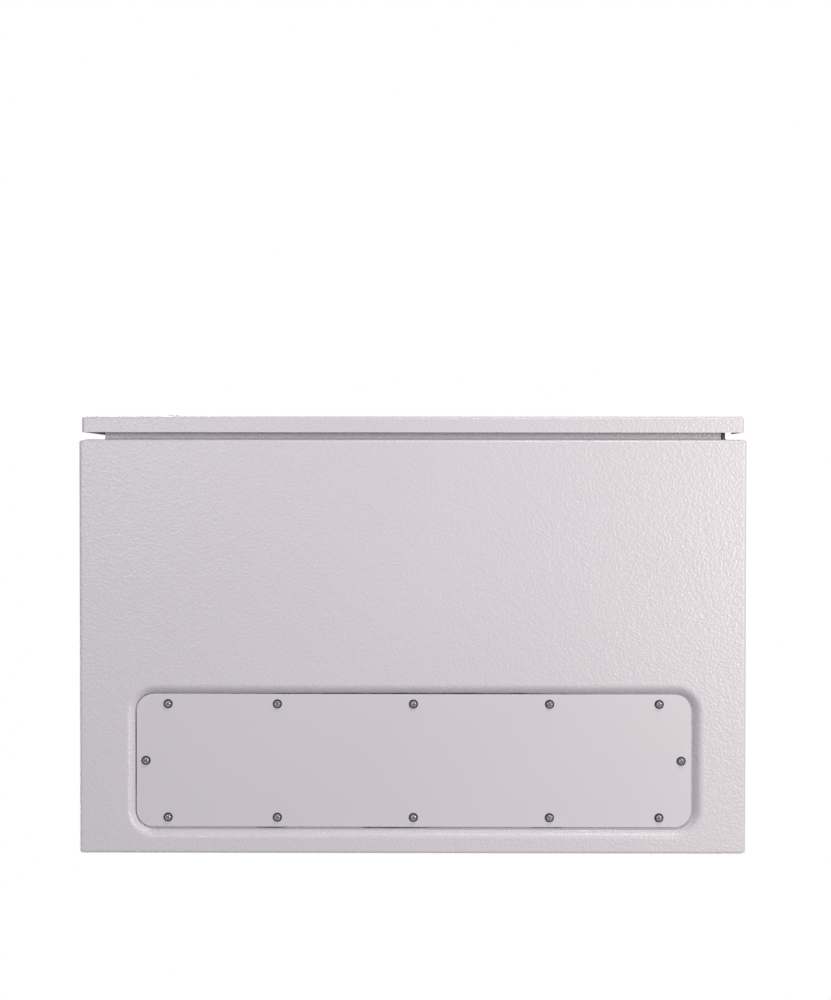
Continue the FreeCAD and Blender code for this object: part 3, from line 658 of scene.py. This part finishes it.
def angle_cleat(side, upper):
    """A bent cleat that ties a rail's return to its bracket: an L-shaped section carried along Y.

    The section is the L's outline, whose outer bend is a quarter circle. Each end is drawn in towards the section's
    middle over the last half millimetre, which breaks the sheared edges.
    """
    rail_low, rail_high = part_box("rack_rail_right")
    bend = CLEAT_BEND
    quarter = np.linspace(math.pi, 1.5 * math.pi, 7)
    curve = [(bend + bend * math.cos(a), bend + bend * math.sin(a)) for a in quarter]
    section = np.array([(0.0, CLEAT_RISE)] + curve + [(CLEAT_REACH, 0.0), (CLEAT_REACH, CLEAT_SHEET),
                                                      (CLEAT_SHEET, CLEAT_SHEET), (CLEAT_SHEET, CLEAT_RISE)])
    toward = section.mean(axis=0) - section
    toward /= np.linalg.norm(toward, axis=1)[:, None]
    ends = [(CLEAT_FRONT, 0.5), (CLEAT_FRONT + CLEAT_BEVEL, 0.0), (CLEAT_REAR - CLEAT_BEVEL, 0.0), (CLEAT_REAR, 0.5)]
    rings = []
    for y, inset in ends:
        shape = section + toward * inset * CLEAT_BEVEL
        rings.append(np.stack([shape[:, 0], np.full(len(shape), y), shape[:, 1]], axis=1))
    points = np.stack(rings)
    points[..., 0] += rail_high.x
    points[..., 2] += rail_low.z
    if upper:
        points[..., 2] = rail_high.z + rail_low.z - points[..., 2]
    points[..., 0] *= side
    return [(points, capped(points))]


def make_rail_fixings(settings, finish):
    """Four cleats, each with one bolt into the rail's return and one down into the bracket's slot."""
    rail_low, rail_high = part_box("rack_rail_right")
    flats = settings.rail_bolt_flats_mm * MM
    radius = settings.rail_bolt_mm / 2 * MM
    grip = CLEAT_SHEET + BRACKET_SHEET
    cleats = []
    bolts = []
    for side in (-1, 1):
        for upper in (False, True):
            cleats += angle_cleat(side, upper)
            up = -1.0 if upper else 1.0
            face = rail_high.z if upper else rail_low.z
            at_return = (side * (rail_high.x + CLEAT_SHEET), RETURN_BOLT_Y, face + up * RETURN_BOLT_RISE)
            at_slot = (side * settings.bracket_slot_x_mm * MM, SLOT_BOLT_Y, face + up * CLEAT_SHEET)
            bolts += bolt_through(np.array([side, 0.0, 0.0]), np.array(at_return), grip, flats, radius)
            bolts += bolt_through(np.array([0.0, 0.0, up]), np.array(at_slot), grip, flats, radius)
    cleat_piece = mesh_object("rail_cleats", *joined(cleats), SHARP_FIXING)
    coat(cleat_piece, finish["sheet"])
    bolt_piece = mesh_object("rail_bolts", *joined(bolts), SHARP_FIXING)
    coat(bolt_piece, finish["steel"])
    for piece in (cleat_piece, bolt_piece):
        face_outwards(piece)
        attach(piece, "cabinet")
    return cleat_piece, bolt_piece


def make_bracket_nuts(settings, finish):
    """Each bracket hangs on three weld studs of the side wall, each with a washer and a nut."""
    low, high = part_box("rail_bracket_right_lower")
    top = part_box("rail_bracket_right_upper")
    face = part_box("side_wall_right")[1].x - settings.sheet_mm * MM - BRACKET_SHEET
    flats = settings.rail_bolt_flats_mm * MM
    radius = settings.rail_bolt_mm / 2 * MM
    heights = ((low.z + high.z) / 2 - BRACKET_STUD_OFFSET, (top[0].z + top[1].z) / 2 + BRACKET_STUD_OFFSET)
    parts = []
    for side in (-1, 1):
        inward = np.array([-side, 0.0, 0.0])
        for z in heights:
            for y in np.linspace(low.y + BRACKET_STUD_INSET, high.y - BRACKET_STUD_INSET, 3):
                parts += nut_on_thread(inward, np.array([side * face, y, z]), flats, radius)
    piece = mesh_object("bracket_stud_nuts", *joined(parts), SHARP_FIXING)
    coat(piece, finish["steel"])
    face_outwards(piece)
    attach(piece, "cabinet")
    return piece


def toothed_washer(along, place, outer, inner, thickness, teeth=12):
    """A serrated earthing washer: its outer radius and its height swing together round the axis, once a tooth."""
    angle = np.linspace(0, 2 * math.pi, teeth * 8, endpoint=False)
    swing = 0.5 + 0.5 * np.cos(teeth * angle)
    radii = np.stack([np.full_like(angle, inner), outer - 0.9 * MM * (1 - swing), outer - 0.9 * MM * (1 - swing),
                      np.full_like(angle, inner)])
    lift = np.stack([np.zeros_like(angle), np.zeros_like(angle), thickness * (0.55 + 0.45 * swing),
                     np.full_like(angle, thickness * 0.8)])
    ring = np.stack([radii * np.cos(angle), radii * np.sin(angle), lift], axis=-1)
    return [(placed(ring, along, place), grid_faces(4, len(angle), True, True))]


def make_earth_nuts(settings, finish):
    """A flat washer, a serrated washer and a nut on each earth stud, each on the sheet that the stud stands on."""
    made = []
    for node, body, along in (("earth_stud_body", "cabinet", (0, 0, 1)), ("earth_stud_door", "door", (0, 1, 0))):
        low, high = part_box(node)
        axis = np.array(along, float)
        middle = (np.array(low) + np.array(high)) / 2
        foot = middle * (1 - axis) + np.array(low) * axis
        radius = settings.earth_stud_mm / 2 * MM
        parts = flat_washer(along, foot, EARTH_WASHER_RADIUS, radius, EARTH_WASHER)
        parts += toothed_washer(along, foot + axis * EARTH_WASHER, TOOTHED_RADIUS, radius, TOOTHED_WASHER)
        parts += hex_nut(along, foot + axis * EARTH_NUT_SEAT, EARTH_NUT_FLATS, NUT_HEIGHT)
        parts += thread_end(along, foot + axis * EARTH_THREAD_SEAT, radius + EARTH_THREAD_CREST,
                            EARTH_THREAD_LENGTH)
        piece = mesh_object(node.replace("stud", "nut"), *joined(parts), SHARP_FIXING)
        coat(piece, finish["steel"])
        face_outwards(piece)
        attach(piece, body)
        made.append(piece)
    return made


NODE_FINISH = {
    "gland_plate": "plate",
    "gland_gasket": "seal",
    "door_gasket": "seal",
    "door_panel": "door",
    "rack_rail": "sheet",
    "rail_bracket": "sheet",
    "door_stiffener": "sheet",
    # The hinges take the steel darkened as painted shade of the door gap.
    "hinge": "hinge",
    "earth_stud": "steel",
    "lock_housing": "lock",
    "lock_rotor": "lock",
    "lock": "steel",
}


def finish_for(node_name):
    """The finish of a construction piece: the longest name that starts it, or the body's coat."""
    starts = [start for start in NODE_FINISH if node_name.startswith(start)]
    return NODE_FINISH[max(starts, key=len)] if starts else "body"


def dress_nodes(finish):
    """Gives each construction piece its finish."""
    for name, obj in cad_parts.items():
        coat(obj, finish[finish_for(name)])


def make_floor(settings):
    """A pale floor that shows from above and keeps the shadow.

    From below it lets sight and light through, because the photograph looks up at the cabinet's underside. The
    gloss of the underside, a few millimetres over it, sees through it too. A little glow, seen only by the eye
    and by bright metal, lifts it to the white of the backdrop.
    """
    corners = np.array([(x * FLOOR_REACH, y * FLOOR_REACH, FLOOR_LEVEL)
                        for x, y in ((-1, -1), (1, -1), (1, 1), (-1, 1))])
    floor = mesh_object("studio_floor", corners, [[0, 1, 2, 3]])
    material = bpy.data.materials.new("pale_studio_floor")
    material.use_nodes = True
    tree = material.node_tree
    tree.nodes.clear()
    path = tree.nodes.new("ShaderNodeLightPath")
    facing = tree.nodes.new("ShaderNodeNewGeometry")
    far = add(tree, "ShaderNodeMath", {0: path.outputs["Ray Length"]}, operation="GREATER_THAN")
    far.inputs[1].default_value = FLOOR_HIDES_WITHIN
    mirrored = add(tree, "ShaderNodeMath", {0: path.outputs["Is Glossy Ray"], 1: far.outputs[0]},
                   operation="MULTIPLY")
    seen = add(tree, "ShaderNodeMath", {0: path.outputs["Is Camera Ray"], 1: mirrored.outputs[0]},
               operation="MAXIMUM")
    above = add(tree, "ShaderNodeMath", {1: facing.outputs["Backfacing"]}, operation="SUBTRACT")
    above.inputs[0].default_value = 1.0
    solid = add(tree, "ShaderNodeMath", {0: seen.outputs[0], 1: above.outputs[0]}, operation="MULTIPLY")
    paint = add(tree, "ShaderNodeBsdfDiffuse", Color=linear("#CFCFCF"))
    glow = add(tree, "ShaderNodeEmission", Color=linear("#FFFFFF"), Strength=settings.floor_glow)
    pale = add(tree, "ShaderNodeAddShader", {0: paint.outputs[0], 1: glow.outputs[0]})
    clear = add(tree, "ShaderNodeBsdfTransparent")
    mix = add(tree, "ShaderNodeMixShader", {0: solid.outputs[0], 1: clear.outputs[0], 2: pale.outputs[0]})
    out = tree.nodes.new("ShaderNodeOutputMaterial")
    tree.links.new(mix.outputs[0], out.inputs["Surface"])
    coat(floor, material)
    return floor


def make_world(settings):
    """Even studio light all round, with a plain white backdrop for whatever looks past the cabinet."""
    world = bpy.data.worlds.new("studio")
    bpy.context.scene.world = world
    world.use_nodes = True
    tree = world.node_tree
    tree.nodes.clear()
    path = tree.nodes.new("ShaderNodeLightPath")
    seen = add(tree, "ShaderNodeMath", {0: path.outputs["Is Camera Ray"], 1: path.outputs["Is Glossy Ray"]},
               operation="MAXIMUM")
    seen = add(tree, "ShaderNodeMath", {0: seen.outputs[0], 1: path.outputs["Is Transmission Ray"]},
               operation="MAXIMUM")
    light = add(tree, "ShaderNodeBackground", Color=linear("#FAFBFF"), Strength=settings.room_light)
    white = add(tree, "ShaderNodeBackground", Color=(1.0, 1.0, 1.0, 1.0), Strength=1.0)
    mix = add(tree, "ShaderNodeMixShader", {0: seen.outputs[0], 1: light.outputs[0], 2: white.outputs[0]})
    out = tree.nodes.new("ShaderNodeOutputWorld")
    tree.links.new(mix.outputs[0], out.inputs["Surface"])


def area_lamp(name, place, target, size, watts, colour="#FFFFFF"):
    """A soft box that faces a point: size is its width and height, and its width lies level."""
    data = bpy.data.lights.new(name, "AREA")
    data.shape = "RECTANGLE"
    data.size, data.size_y = size
    data.energy = watts
    data.color = linear(colour)[:3]
    lamp = bpy.data.objects.new(name, data)
    bpy.context.scene.collection.objects.link(lamp)
    back = (Vector(place) - Vector(target)).normalized()
    side = Vector((0, 1, 0)).cross(back).normalized()
    lamp.matrix_world = Matrix((side, back.cross(side), back)).transposed().to_4x4()
    lamp.location = place
    lamp.visible_camera = False
    return lamp


def make_camera(settings):
    """The camera below the cabinet: it looks up, with +X to the right of the frame and the front at its top."""
    pan, tilt, roll = (math.radians(v) for v in (CAMERA_PAN, CAMERA_TILT, CAMERA_ROLL))
    ahead = Vector((math.sin(pan) * math.cos(tilt), math.sin(tilt), math.cos(pan) * math.cos(tilt)))
    right = Vector((math.cos(pan), 0.0, -math.sin(pan)))
    down = ahead.cross(right).normalized()
    right = down.cross(ahead).normalized()
    rolled_right = right * math.cos(roll) + down * math.sin(roll)
    rolled_down = down * math.cos(roll) - right * math.sin(roll)
    turn = Matrix((rolled_right, -rolled_down, -ahead)).transposed().to_4x4()
    data = bpy.data.cameras.new("photo_camera")
    data.sensor_fit = "VERTICAL"
    data.sensor_height = SENSOR_MM
    data.lens = CAMERA_FOCAL_PX / PHOTO_HEIGHT_PX * SENSOR_MM
    camera = bpy.data.objects.new("photo_camera", data)
    bpy.context.scene.collection.objects.link(camera)
    camera.matrix_world = Matrix.Translation(CAMERA_PLACE) @ turn
    bpy.context.scene.camera = camera
    return camera


class CabinetSettings(bpy.types.PropertyGroup):
    """Sizes and colours of the dressed cabinet that a user would change."""

    body_colour: StringProperty(
        name="Body colour", description="Coat of the body, as sRGB hex", default="#D9D4DA")
    door_colour: StringProperty(
        name="Door colour", description="Coat of the door, as sRGB hex", default="#D9D4DA")
    plate_colour: StringProperty(
        name="Plate colour", description="Coat of the gland plate, as sRGB hex", default="#D7D2D8")
    sheet_mm: FloatProperty(
        name="Sheet", description="Thickness of the body's sheet, in mm", default=1.5)
    bend_mm: FloatProperty(
        name="Bend", description="Outer radius of the body's bends, in mm", default=3.0)
    seat_width_mm: FloatProperty(
        name="Seat width", description="Width of the recess's flat seat, in mm", default=501.0)
    seat_depth_mm: FloatProperty(
        name="Seat depth", description="Depth of the recess's flat seat, in mm", default=121.0)
    seat_corner_mm: FloatProperty(
        name="Seat corner", description="Corner radius of the seat, in mm", default=16.0)
    recess_slope_mm: FloatProperty(
        name="Recess slope", description="Run of the recess's slope, in mm", default=6.4)
    recess_lip_mm: FloatProperty(
        name="Recess lip", description="Radius of the recess's outer edge, in mm", default=6.5)
    recess_foot_mm: FloatProperty(
        name="Recess foot", description="Radius of the recess's inner edge, in mm", default=2.6)
    cut_out_width_mm: FloatProperty(
        name="Cut-out width", description="Width of the cable cut-out, in mm", default=460.0)
    cut_out_depth_mm: FloatProperty(
        name="Cut-out depth", description="Depth of the cable cut-out, in mm", default=82.0)
    cut_out_corner_mm: FloatProperty(
        name="Cut-out corner", description="Corner radius of the cut-out, in mm", default=8.0)
    recess_x_mm: FloatProperty(
        name="Recess across", description="Middle of the recess, right of the body's, in mm", default=2.1)
    recess_y_mm: FloatProperty(
        name="Recess to rear", description="Middle of the recess behind the body's, in mm", default=103.2)
    plate_x_mm: FloatProperty(
        name="Plate across", description="Middle of the plate, right of the body's, in mm", default=1.0)
    plate_y_mm: FloatProperty(
        name="Plate to rear", description="Middle of the plate behind the body's, in mm", default=103.0)
    plate_corner_mm: FloatProperty(
        name="Plate corner", description="Corner radius of the gland plate, in mm", default=15.0)
    plate_edge_mm: FloatProperty(
        name="Plate edge", description="Rounding of the gland plate's edges, in mm", default=0.45)
    screw_head_mm: FloatProperty(
        name="Screw head", description="Diameter of the gland plate's screw heads, in mm", default=6.3)
    screw_height_mm: FloatProperty(
        name="Screw height", description="Height of the screw heads, in mm", default=2.0)
    # The washers' black ring round each screw head is also painted shade and dark reflection.
    washer_mm: FloatProperty(
        name="Washer", description="Diameter of the screws' sealing washers, in mm", default=8.1)
    washer_thickness_mm: FloatProperty(
        name="Washer thickness", description="Thickness of the washers, in mm", default=0.9)
    screw_row_mm: FloatProperty(
        name="Screw rows", description="From each row of screws to the plate's middle, in mm", default=51.25)
    screw_corner_x_mm: FloatProperty(
        name="Corner screws", description="From the corner screws to the plate's middle, in mm", default=221.4)
    screw_inner_x_mm: FloatProperty(
        name="Inner screws", description="From the inner screws to the plate's middle, in mm", default=122.7)
    screw_end_x_mm: FloatProperty(
        name="End screws", description="From the end screws to the plate's middle, in mm", default=241.3)
    rail_bolt_mm: FloatProperty(
        name="Rail bolts", description="Thread diameter of the rails' bolts, in mm", default=6.0)
    rail_bolt_flats_mm: FloatProperty(
        name="Nut width", description="Width of the nuts over their flats, in mm", default=10.0)
    bracket_slot_x_mm: FloatProperty(
        name="Bracket slots", description="From the body's middle to the brackets' slots, in mm", default=277.6)
    earth_stud_mm: FloatProperty(
        name="Earth studs", description="Diameter of the earth studs, in mm", default=6.0)
    room_light: FloatProperty(
        name="Room light", description="Strength of the even light all round", default=0.28)
    floor_glow: FloatProperty(
        name="Floor glow", description="Light that the floor adds for the eye", default=0.45)
    lower_watts: FloatProperty(
        name="Lower lamp", description="Watts of the lamp under the right front", unit="POWER", default=11.2)
    strip_watts: FloatProperty(
        name="Strip lamp", description="Watts of the strip lamp under the right", unit="POWER", default=7.0)
    left_watts: FloatProperty(
        name="Left lamp", description="Watts of the small lamp under the left front", unit="POWER", default=2.85)
    front_watts: FloatProperty(
        name="Front lamp", description="Watts of the lamp low in front of the door", unit="POWER", default=9.0)
    rear_watts: FloatProperty(
        name="Rear lamp", description="Watts of the lamp behind the right side; the side lamp has half", unit="POWER", default=48.0)
    upper_watts: FloatProperty(
        name="Upper lamp", description="Watts of the lamp over the left front", unit="POWER", default=60.0)


def cabinet_settings():
    """The settings of the current scene."""
    return bpy.context.scene.cabinet_settings


class Finishes:
    """Keeps the finishes once they are made."""

    made = {}


def finishes():
    """The finishes, made when first asked for."""
    if not Finishes.made:
        Finishes.made.update(make_materials())
    return Finishes.made


class CABINET_OT_finishes(bpy.types.Operator):
    """Give every construction piece its coat, plating or rubber"""

    bl_idname = "cabinet.finishes"
    bl_label = "Finishes"

    def execute(self, context):
        dress_nodes(finishes())
        return {"FINISHED"}


class CABINET_OT_base(bpy.types.Operator):
    """Add the pressed base panel with the recess for the gland plate"""

    bl_idname = "cabinet.base"
    bl_label = "Base panel"

    def execute(self, context):
        make_base_skin(cabinet_settings(), finishes())
        return {"FINISHED"}


class CABINET_OT_screws(bpy.types.Operator):
    """Add the gland plate and its screws"""

    bl_idname = "cabinet.screws"
    bl_label = "Gland plate and screws"

    def execute(self, context):
        make_gland_plate(cabinet_settings(), finishes())
        make_seal_lip_and_painted_shadow(cabinet_settings(), finishes())
        make_gland_screws(cabinet_settings(), finishes())
        return {"FINISHED"}


class CABINET_OT_rail_fixings(bpy.types.Operator):
    """Add the cleats, bolts and nuts that hold the rack rails and their brackets"""

    bl_idname = "cabinet.rail_fixings"
    bl_label = "Rail fixings"

    def execute(self, context):
        make_rail_fixings(cabinet_settings(), finishes())
        make_bracket_nuts(cabinet_settings(), finishes())
        return {"FINISHED"}


class CABINET_OT_earth_nuts(bpy.types.Operator):
    """Add the washers and nuts of the two earth studs"""

    bl_idname = "cabinet.earth_nuts"
    bl_label = "Earth stud nuts"

    def execute(self, context):
        make_earth_nuts(cabinet_settings(), finishes())
        return {"FINISHED"}


class CABINET_OT_stage(bpy.types.Operator):
    """Set up the floor, the light and the camera"""

    bl_idname = "cabinet.stage"
    bl_label = "Studio"

    def execute(self, context):
        settings = cabinet_settings()
        scene = context.scene
        scene.view_settings.view_transform = "Standard"
        make_world(settings)
        make_floor(settings)
        area_lamp("lower_right_lamp", (1.25, -0.38, -1.5), (0.15, -0.05, 0.0), (0.8, 0.30), settings.lower_watts,
                  "#FFFAF3")
        area_lamp("lower_strip_lamp", (0.90, 0.05, -1.5), (0.25, 0.0, 0.0), (0.45, 0.6), settings.strip_watts,
                  "#FFFBF6")
        area_lamp("lower_left_lamp", (-0.62, -0.35, -1.5), (-0.2, -0.1, 0.0), (0.3, 0.3), settings.left_watts,
                  "#F4F6FF")
        area_lamp("front_lamp", (0.42, -1.5, -0.8), (0.15, -0.19, 0.0), (0.5, 0.3), settings.front_watts,
                  "#FFFBF6")
        area_lamp("upper_lamp", (-1.3, -2.0, 2.1), (0.0, 0.0, 0.3), (1.3, 1.3), settings.upper_watts)
        area_lamp("rear_lamp", (1.6, 2.2, 1.6), (0.0, 0.0, 0.3), (1.3, 1.3), settings.rear_watts)
        area_lamp("side_lamp", (-2.6, 0.7, 1.2), (0.0, 0.0, 0.3), (1.2, 1.2), settings.rear_watts / 2)
        make_camera(settings)
        return {"FINISHED"}


class CABINET_PT_panel(bpy.types.Panel):
    """Lists the cabinet's pieces"""

    bl_label = "Cabinet"
    bl_idname = "CABINET_PT_panel"
    bl_space_type = "VIEW_3D"
    bl_region_type = "UI"
    bl_category = "Cabinet"

    def draw(self, context):
        layout = self.layout
        for name in ("cabinet.finishes", "cabinet.base", "cabinet.screws", "cabinet.rail_fixings",
                     "cabinet.earth_nuts", "cabinet.stage"):
            layout.operator(name)


CLASSES = (CabinetSettings, CABINET_OT_finishes, CABINET_OT_base, CABINET_OT_screws, CABINET_OT_rail_fixings,
           CABINET_OT_earth_nuts, CABINET_OT_stage, CABINET_PT_panel)


def register():
    for item in CLASSES:
        bpy.utils.register_class(item)
    bpy.types.Scene.cabinet_settings = PointerProperty(type=CabinetSettings)


def unregister():
    del bpy.types.Scene.cabinet_settings
    for item in reversed(CLASSES):
        bpy.utils.unregister_class(item)


def main():
    """Makes every piece in order."""
    register()
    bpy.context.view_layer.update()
    bpy.ops.cabinet.finishes()
    bpy.ops.cabinet.base()
    bpy.ops.cabinet.screws()
    bpy.ops.cabinet.rail_fixings()
    bpy.ops.cabinet.earth_nuts()
    bpy.ops.cabinet.stage()


if __name__ == "__main__":
    main()
